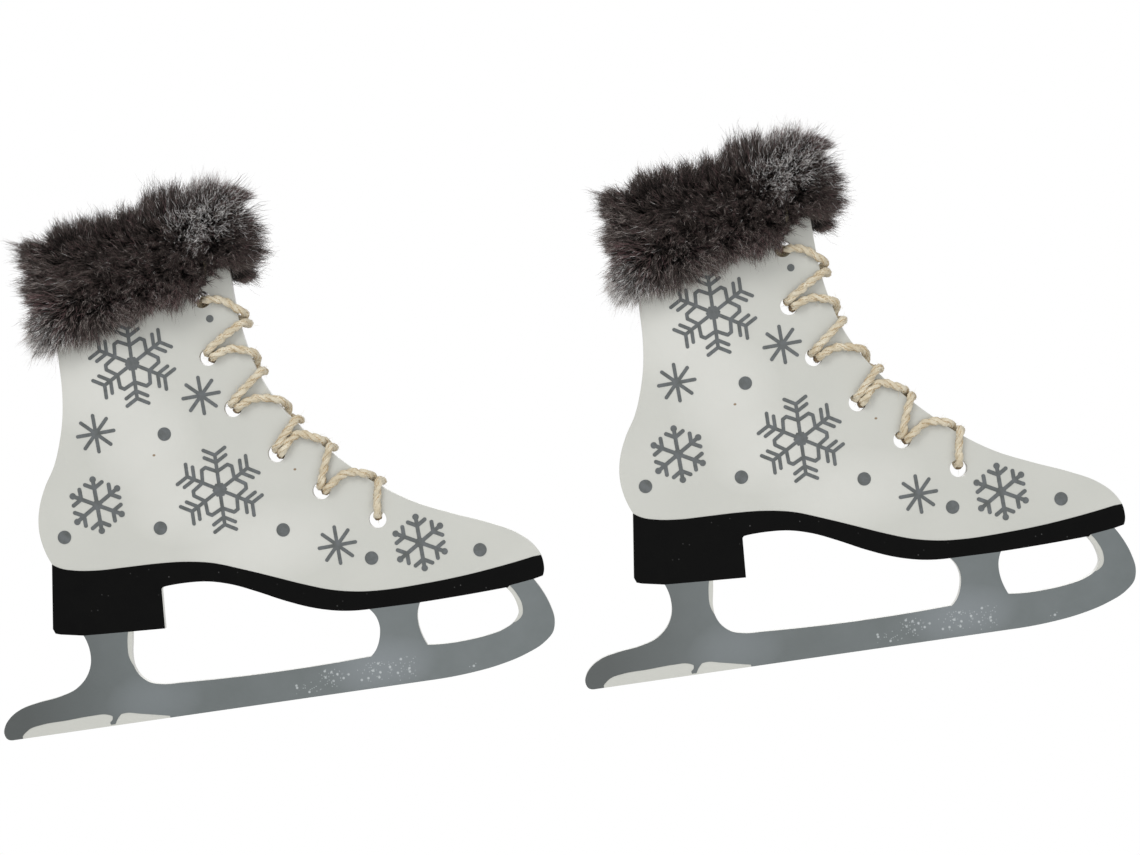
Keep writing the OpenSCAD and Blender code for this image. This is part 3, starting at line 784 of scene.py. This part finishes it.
def grow(rng, strip, zone, count, coat, noise):
    """Curved hairs of one coat from one zone, drawn together into tufts.

    Returns their paths and radii, their roots and how far up the strip those are.
    """
    length, radius, gap, clumping, rim_share, curl = coat
    _, area, most_over, least_up = FUR_ZONES[zone]
    roots, normals, up = sow(rng, strip, zone, count, rim_share)
    total = len(roots)
    tufts = roots[: max(8, int(area / gap**2))]
    tree = KDTree(len(tufts))
    for number, place in enumerate(tufts):
        tree.insert(place, number)
    tree.balance()
    tuft = np.array([tree.find(place)[1] for place in roots])

    def varied(spread, width):
        shared = rng.normal(0, spread[0], (len(tufts), width))[tuft]
        return shared + rng.normal(0, spread[1], (total, width))

    reach = reach_of(strip, zone, roots, up, noise) * (length / PILE) ** 0.6
    reach += varied(STRAY, 2)
    flat = roots[:, [0, 2]]
    amount, over = LENGTH_DRIFT
    size = length * rng.uniform(*HAIR_LENGTHS, total) * (1 + rng.normal(0, amount, len(tufts)))[tuft]
    size *= 1 + amount * noise(flat, over)[:, 0]
    if zone == "front":
        size *= 1 - sum(share * near(flat, middle, across) for middle, across, share in SHORTER)
    if zone == "rear":
        size *= (strip.rear - REAR_EDGE) / PILE
    if zone == "toe":
        size *= (along_edge(TOE_EDGE, roots[:, 2] + reach[:, 1]) - strip.front) / PILE
    sideways = np.maximum(np.linalg.norm(reach, axis=1), 1e-6)
    reach *= (np.minimum(sideways, most_over * size) / sideways)[:, None]
    lift = np.sqrt(np.maximum(size**2 - sideways**2, (least_up * size) ** 2))
    if zone in ("front", "back"):
        lift = np.where(up > DROOP_FROM, lift * rng.uniform(*DROOP, total), lift)
    flow = np.stack([reach[:, 0], np.zeros(total), reach[:, 1]], axis=1)
    tip = roots + normals * lift[:, None] + flow
    heart = np.zeros((len(tufts), 3))
    members = np.maximum(np.bincount(tuft, minlength=len(tufts)), 1)[:, None]
    np.add.at(heart, tuft, tip)
    centre = (heart / members)[tuft]
    pull = np.clip(clumping * rng.uniform(*CLUMPING, len(tufts)), 0, MOST_CLUMPED)[tuft][:, None]
    pull *= 1 - 0.5 * np.abs(2 * up - 1)[:, None] ** 3
    tip = tip + (centre - tip) * pull
    middle = roots + normals * (0.62 * lift)[:, None] + 0.3 * flow
    share = HAIR_SHARES[None, :, None]
    rest = 1 - share
    paths = roots[:, None] * rest**2 + 2 * middle[:, None] * share * rest + tip[:, None] * share**2
    bend = varied(BEND, 3)
    wave = varied(WAVE, 3)
    crimp = rng.normal(0, CRIMP, (total, 3))
    scale = curl * (size / PILE)[:, None, None]
    paths += scale * (
        bend[:, None] * share**2 + wave[:, None] * np.sin(2 * math.pi * share)
        + crimp[:, None] * share * np.sin(5 * math.pi * share)
    )
    depth = np.abs(paths[..., 1])
    eased = FUR_DEPTH - DEPTH_EASE
    held = eased + DEPTH_EASE * np.tanh((depth - eased) / DEPTH_EASE)
    paths[..., 1] = np.sign(paths[..., 1]) * np.where(depth > eased, held, depth)
    thickness = radius * rng.uniform(*HAIR_WIDTHS, total)
    return paths, thickness[:, None] * HAIR_TAPER, roots, up


def tones_of(rng, roots, up):
    """Which tone each hair has, drawn by the chances in TONES and the looks of its place."""
    flat = roots[:, [0, 2]]
    looks = {name: sum(near(flat, *spot) for spot in spots) for name, spots in LOOKS.items()}
    looks["frost"] *= roots[:, 1] < 0
    looks["any"] = np.ones(len(roots))
    # Painted shade: hairs near the head of the cloth more often take the darkest tone
    looks["shaded_crest"] = np.clip(4 * up - 3, 0, 1)
    chance = np.stack([
        sum(share * looks[name] for name, share in chances.items()) for _, _, chances in TONES.values()
    ], axis=1)
    pick = rng.uniform(0, 1, len(roots)) * chance.sum(1)
    return (pick[:, None] > np.cumsum(chance, axis=1)).sum(1)


# For each coat: hairs in front, length, radius, how far apart its tufts are, how tight they are, what share
# of its hairs is sown along the rims, and how curly they are
COATS = (
    (5000, 0.66 * PILE, 0.15, 1.4, 0.3, 0.25, 1.0),
    (15500, PILE, 0.074, 1.15, 0.5, 0.25, 1.3),
    (2300, 1.06 * PILE, 0.034, 3.0, 0.1, 0.8, 2.2),
)
FUR_SEED = 11
# The undercoat and the wisps show a tone past this one only where the pile is ashen by more than this
COMMON_TONE = 1
ASHEN_ENOUGH = 0.35
# The fur is cut into pieces at these u
FUR_CUTS = {"front": (48.0, 60.0, 73.0, 87.0, 103.5), "back": (52.0, 78.0, 102.0)}


def make_fur(side, strip):
    """The pile in ten pieces: a thick undercoat, fine top hairs in small tufts and a few stray wisps."""
    rng = np.random.default_rng(FUR_SEED)
    seed = int(rng.integers(0, 2**31))

    def noise(points, size):
        return smooth_noise(np.random.default_rng(seed + int(size * 10)), points, size)

    grown = []
    for zone, (share, *_) in FUR_ZONES.items():
        for layer, (count, *coat) in enumerate(COATS):
            paths, radii, roots, up = grow(rng, strip, zone, int(count * share), coat, noise)
            tones = tones_of(rng, roots, up)
            if layer != 1:
                ashen = near(roots[:, [0, 2]], *LOOKS["ashen"][0]) > ASHEN_ENOUGH
                tones = np.where(ashen, tones, np.minimum(tones, COMMON_TONE))
            grown.append((paths, radii, roots, tones))
    paths, radii, roots, tones = (np.concatenate(part) for part in zip(*grown))
    pieces = []
    for face, cuts in FUR_CUTS.items():
        on_face = (roots[:, 1] < 0) == (face == "front")
        part = np.searchsorted(cuts, roots[:, 0])
        for number in range(len(cuts) + 1):
            chosen = on_face & (part == number)
            points, groups, owner, step = hairs(paths[chosen], radii[chosen])
            tone = tones[chosen][owner]
            shade = np.where(tone >= PALE, np.clip(step - 1, 1, 2), np.minimum(step, 2))
            index = np.where(step == 0, 0, 2 * tone + shade)
            name = f"{side}_fur_{face}_{number + 1}"
            pieces.append(new_piece(name, side, points, groups, FUR_MATERIALS, index))
    return pieces


# ---- The lace ----

# Down the front edge by six holes and back up, as (u, y, w) in metres
LACE_ROUTE = (
    (0.102, 0.0025, 0.1634), (0.102, -0.0015, 0.1634), (0.1034, -0.0042, 0.1634), (0.1095, -0.0041, 0.1622),
    (0.1154, -0.0039, 0.1576), (0.1174, 0, 0.1558), (0.1158, 0.0039, 0.1544), (0.1026, 0.0043, 0.1405),
    (0.1021, 0, 0.1398), (0.1027, -0.0043, 0.1404), (0.1095, -0.0041, 0.1425), (0.1183, -0.0039, 0.1401),
    (0.1194, 0, 0.1383), (0.1193, 0.0039, 0.1366), (0.1096, 0.0043, 0.1192), (0.109, 0, 0.1183),
    (0.1096, -0.0043, 0.1189), (0.1165, -0.0041, 0.1215), (0.1265, -0.0039, 0.1196), (0.1283, 0, 0.1178),
    (0.1289, 0.0039, 0.1163), (0.1244, 0.0043, 0.0988), (0.1237, 0, 0.0978), (0.1243, -0.0043, 0.0986),
    (0.1315, -0.0041, 0.105), (0.1398, -0.0039, 0.1019), (0.1418, 0, 0.1007), (0.1423, 0.0039, 0.0993),
    (0.1399, 0.0043, 0.0819), (0.1393, 0, 0.0808), (0.14, -0.0043, 0.0816), (0.1485, -0.0041, 0.0868),
    (0.1565, -0.0039, 0.0855), (0.1584, 0, 0.0844), (0.1587, 0.0039, 0.0836), (0.1586, 0.0043, 0.0686),
    (0.1585, 0, 0.0679), (0.1587, -0.0043, 0.0686), (0.1596, -0.0041, 0.0755), (0.1611, -0.0039, 0.0816),
    (0.1616, 0, 0.0818), (0.162, 0.0052, 0.0816), (0.1593, 0.0073, 0.0825), (0.141, 0.0071, 0.084),
    (0.1382, 0.0067, 0.0839), (0.1373, 0.0042, 0.0835), (0.1375, 0, 0.083), (0.1381, -0.0043, 0.0838),
    (0.1406, -0.0041, 0.091), (0.1436, -0.0039, 0.0979), (0.1443, 0, 0.0979), (0.1447, 0.0052, 0.0977),
    (0.142, 0.0072, 0.0983), (0.1255, 0.0071, 0.1008), (0.1227, 0.0067, 0.1009), (0.1218, 0.0042, 0.1007),
    (0.1219, 0, 0.1002), (0.1225, -0.0043, 0.101), (0.1322, -0.0039, 0.1111), (0.1331, 0, 0.1107),
    (0.1328, 0.004, 0.1107), (0.1275, 0.0072, 0.113), (0.111, 0.0071, 0.1209), (0.108, 0.0067, 0.1213),
    (0.1071, 0.0042, 0.1211), (0.1072, 0, 0.1206), (0.1078, -0.0043, 0.1214), (0.1208, -0.0039, 0.1319),
    (0.1213, 0, 0.132), (0.1213, 0.0048, 0.1322), (0.1176, 0.0072, 0.1342), (0.1044, 0.0071, 0.1422),
    (0.1014, 0.0067, 0.143), (0.1004, 0.0042, 0.1428), (0.1004, 0, 0.1423), (0.101, -0.0043, 0.1432),
    (0.116, -0.0039, 0.1521), (0.1177, 0, 0.152), (0.118, 0.005, 0.1517), (0.1149, 0.0074, 0.1533),
    (0.1078, 0.0056, 0.1612), (0.1052, 0.0056, 0.1612),
)
LACE_D = 0.0025  # metres
# Where the lace is painted dark as shade inside its holes: (u, w), how far that reaches, and how far it
# reaches in y
HOLE_SHADE_PLACES = ((102.3, 162.5), (101.6, 139.4), (108.4, 117.6), (123.1, 97.2), (138.7, 80), (159, 65.8))
HOLE_SHADE_REACH = 2.0
HOLE_SHADE_DEPTH = 3.9
SWELL = 1.06  # how much fatter the loose twine looks than its drawn diameter
LACE_STEP, LACE_SEED = 0.45, 31
PLY_TURN = 9.0  # how far along the lace a ply goes once round
PLY_R, PLY_OUT = 0.42, 0.2  # a ply's radius and how far it is off the middle, times the twine's thickness
RIDGES, RIDGE_HEIGHT = 6, 0.13  # of a ply
RIDGE_TWIST = -0.35  # how far the ridges turn for each turn of the ply
DARK_FROM = 1.15  # faces are dark where two slow waves add up to more than this
FIBRES, FIBRE_LENGTH = 1500, 3.0  # of each lace
KNOT_AT, KNOT_D = (101.4, 161.5), 8.4
KNOT_TWINE = 2.3  # how thick the twine is where it is pulled tight
KNOT_LOBES = (0.9, 1.15)  # how wide and how deep the knot's loops are
# The knot's two cut ends, from its middle
KNOT_ENDS = (
    ((1.0, 0.5, -1.0), (0.2, 1.4, -3.4), (-1.4, 1.2, -6.2), (-2.4, 0.6, -9.0)),
    ((-0.8, 0.6, 0.2), (-3.2, 1.2, -1.6), (-5.4, 0.8, -4.6), (-6.2, 0.2, -7.4)),
)
KNOT_END_STEP = 0.5


def smooth_route(points, step):
    """Points evenly spaced along a curve that passes through all of the given ones."""
    ends = np.concatenate([[2 * points[0] - points[1]], points, [2 * points[-1] - points[-2]]])
    pieces = []
    for a, b, c, d in zip(ends, ends[1:], ends[2:], ends[3:]):
        gaps = [max(np.linalg.norm(q - p), 1e-6) ** 0.5 for p, q in ((a, b), (b, c), (c, d))]
        gap_ab, gap_bc, gap_cd = gaps
        m1 = gap_bc * ((b - a) / gap_ab - (c - a) / (gap_ab + gap_bc)) + (c - b)
        m2 = gap_bc * ((d - c) / gap_cd - (d - b) / (gap_bc + gap_cd)) + (c - b)
        t = np.linspace(0, 1, 24, endpoint=False)[:, None]
        pieces.append(
            b * (2 * t**3 - 3 * t**2 + 1) + m1 * (t**3 - 2 * t**2 + t)
            + c * (3 * t**2 - 2 * t**3) + m2 * (t**3 - t**2)
        )
    line = np.concatenate([*pieces, points[-1:]])
    run = lengths_along(line)
    return evenly(line, run, int(run[-1] / step) + 1)


def carried_frames(line):
    """Two directions square to a line at each of its points, which don't turn about it."""
    along = unit(np.gradient(line, axis=0))
    first = np.zeros_like(line)
    side = unit(np.cross(along[0], [0.3, 0.2, 0.9]))
    for number, way in enumerate(along):
        side = side - side @ way * way
        side /= np.linalg.norm(side)
        first[number] = side
    return along, first, np.cross(along, first)


def twine(line, thickness, sides=20):
    """Two ridged plies twisted along a line. Returns points, face groups and which faces are dark."""
    _, first, second = carried_frames(line)
    run = lengths_along(line)
    points, quads, caps, dark = [], [], [], []
    for ply in range(2):
        turn = 2 * math.pi * run / PLY_TURN + ply * math.pi
        heart = line + PLY_OUT * thickness * around(turn, first, second)
        _, a, b = carried_frames(heart)
        angles = np.arange(sides) * 2 * math.pi / sides
        lay = angles[None] + (RIDGE_TWIST * turn)[:, None]
        ridges = 1 + RIDGE_HEIGHT * np.cos(RIDGES * lay)
        drift = np.sin(3 * lay + 0.12 * run[:, None]) + np.sin(7 * lay - 0.2 * run[:, None] + ply)
        uneven = 1 + 0.07 * np.sin(run * 1.7 + ply) + 0.05 * np.sin(run * 4.1 + 2 * ply)
        radius = PLY_R * thickness * ridges * uneven[:, None]
        ring = heart[:, None] + radius[..., None] * around(angles, a[:, None], b[:, None])
        number = np.arange(len(line) * sides).reshape(-1, sides) + ply * len(line) * sides
        nxt = np.roll(number, -1, axis=1)
        quads.append(np.stack([number[:-1], nxt[:-1], nxt[1:], number[1:]], axis=-1).reshape(-1, 4))
        caps += [number[0][::-1], number[-1]]
        points.append(ring.reshape(-1, 3))
        dark.append((drift[:-1] > DARK_FROM).ravel())
    tones = np.concatenate([*dark, np.zeros(len(caps), bool)])
    return np.concatenate(points), [np.concatenate(quads), np.stack(caps)], tones


def fluff(rng, line):
    """Loose fibres that lift off the lace and curl. Returns their points and face groups."""
    count = FIBRES
    along, first, second = carried_frames(line)
    at = rng.integers(4, len(line) - 4, count)
    angle = rng.uniform(0, 2 * math.pi, count)
    out = around(angle, first[at], second[at])
    root = line[at] + out * 0.4 * LACE_D / MM
    way = along[at] * rng.choice([-1, 1], count)[:, None]
    way = unit(way + out * rng.uniform(0.15, 0.9, count)[:, None])
    length = FIBRE_LENGTH * rng.uniform(0.35, 1.0, count)[:, None]
    curl = rng.normal(0, 0.35, (count, 3)) * length
    share = np.linspace(0, 1, 5)[None, :, None]
    paths = root[:, None] + (way * length)[:, None] * share + curl[:, None] * share**2
    radii = rng.uniform(0.035, 0.06, count)[:, None] * np.array([1, 1, 0.9, 0.7, 0])
    return hairs(paths, radii)[:2]


def make_lace(side):
    """The whole lace, with painted shade where it runs inside its holes, and its loose fibres."""
    rng = np.random.default_rng(LACE_SEED + SIDES.index(side))
    line = smooth_route(np.array(LACE_ROUTE) / MM, LACE_STEP)
    line += 0.05 * np.stack([np.sin(0.45 * np.arange(len(line)) + k) for k in (0, 2, 4)], axis=1)
    points, groups, dark = twine(line, SWELL * LACE_D / MM)
    middle = points[groups[0]].mean(axis=1)
    # Painted shade: faces of the lace deep inside its holes get a dark colour
    gap = np.min([np.hypot(middle[:, 0] - u, middle[:, 2] - w) for u, w in HOLE_SHADE_PLACES], axis=0)
    hole_shade = np.zeros(len(dark), bool)
    hole_shade[: len(middle)] = (gap < HOLE_SHADE_REACH) & (np.abs(middle[:, 1]) < HOLE_SHADE_DEPTH)
    tones = np.where(hole_shade, 2, dark)
    cord = new_piece(side + "_jute_lace", side, points, groups, [JUTE, JUTE_DARK, JUTE_HOLE_SHADE], tones)
    points, groups = fluff(rng, line)
    fibres = new_piece(side + "_lace_fibres", side, points, groups, [JUTE_FIBRE])
    return cord, fibres


def make_knot(side):
    """The knot behind the top hole: a tight overhand knot with two short cut ends."""
    turn = np.linspace(0, 2 * math.pi, 200, endpoint=False)
    wide, thick = KNOT_LOBES
    knot = np.stack([
        wide * (np.sin(turn) + 2 * np.sin(2 * turn)), thick * -np.sin(3 * turn),
        wide * (np.cos(turn) - 2 * np.cos(2 * turn)),
    ], axis=1)
    centre = np.array([KNOT_AT[0], FACE_Y + 0.42 * KNOT_D, KNOT_AT[1]])
    closed = np.concatenate([knot, knot[:1]]) + centre
    points, groups, dark = twine(closed, KNOT_TWINE)
    for end in KNOT_ENDS:
        line = smooth_route(centre + np.array(end), KNOT_END_STEP)
        more, more_groups, more_dark = twine(line, LACE_D / MM)
        sides, caps = len(groups[0]), len(more_groups[0])
        groups = [np.concatenate([a, b + len(points)]) for a, b in zip(groups, more_groups)]
        dark = np.concatenate([dark[:sides], more_dark[:caps], dark[sides:], more_dark[caps:]])
        points = np.concatenate([points, more])
    return new_piece(side + "_jute_knot", side, points, groups, [JUTE, JUTE_DARK], dark)


# ---- Putting it together ----

SOFT_EDGE = 0.00025  # metres


def dress_node(node, material):
    """Gives a CAD node its material, and leaves its shape alone."""
    piece = frame["nodes"][node]
    piece.data.materials.clear()
    piece.data.materials.append(material)
    return piece


def soften_edges(piece):
    """Rounds the rim of a CAD plate a little, as paint does."""
    weld = piece.modifiers.new("weld", "WELD")
    weld.merge_threshold = 1e-6
    bevel = piece.modifiers.new("soft_edge", "BEVEL")
    bevel.width = SOFT_EDGE
    bevel.segments = 3
    bevel.limit_method = "ANGLE"
    bevel.angle_limit = math.radians(50)


def make_skate(side):
    """Dresses one skate's CAD nodes, and makes its cloth, fur and lace."""
    body = side + "_skate"
    soften_edges(dress_node(side + "_board", paint_material(side)))
    dress_node(side + "_sole_print", print_ink(side, "sole_black"))
    dress_node(side + "_blade_print", blade_ink(side))
    motif = print_ink(side, "motif_grey")
    for name in ("large_snowflakes", "branched_snowflakes", "stars", "dots"):
        dress_node(f"{side}_{name}", motif)
    dress_node(side + "_cuff_glue", GLUE)

    strip = Strip(side)
    cloth, flat = make_cloth(side, strip)
    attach(cloth, body)
    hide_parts(side + "_cuff_backing")
    fur = make_fur(side, strip)
    for piece in fur:
        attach(piece, body)
        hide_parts(side + "_cuff_fur")

    lace, fibres = make_lace(side)
    knot = make_knot(side)
    for piece, node in ((lace, "_lace"), (fibres, "_lace"), (knot, "_lace_knot")):
        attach(piece, body)
        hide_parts(side + node)


make_camera()
make_world()
for light in LIGHTS:
    make_area_light(*light)
make_floor()
GLUE = glue_material()
JUTE = jute_material()
JUTE_DARK = plain_hair("jute_dark", (0.46, 0.34, 0.2), 0.8)
# Painted shade for the lace where it runs inside its holes
JUTE_HOLE_SHADE = plain_hair("jute_painted_hole_shade", (0.2, 0.14, 0.08), 0.9)
JUTE_FIBRE = plain_hair("jute_fibre", (0.76, 0.67, 0.5), 0.7)
FUR_MATERIALS = fur_materials()
for side in SIDES:
    make_skate(side)
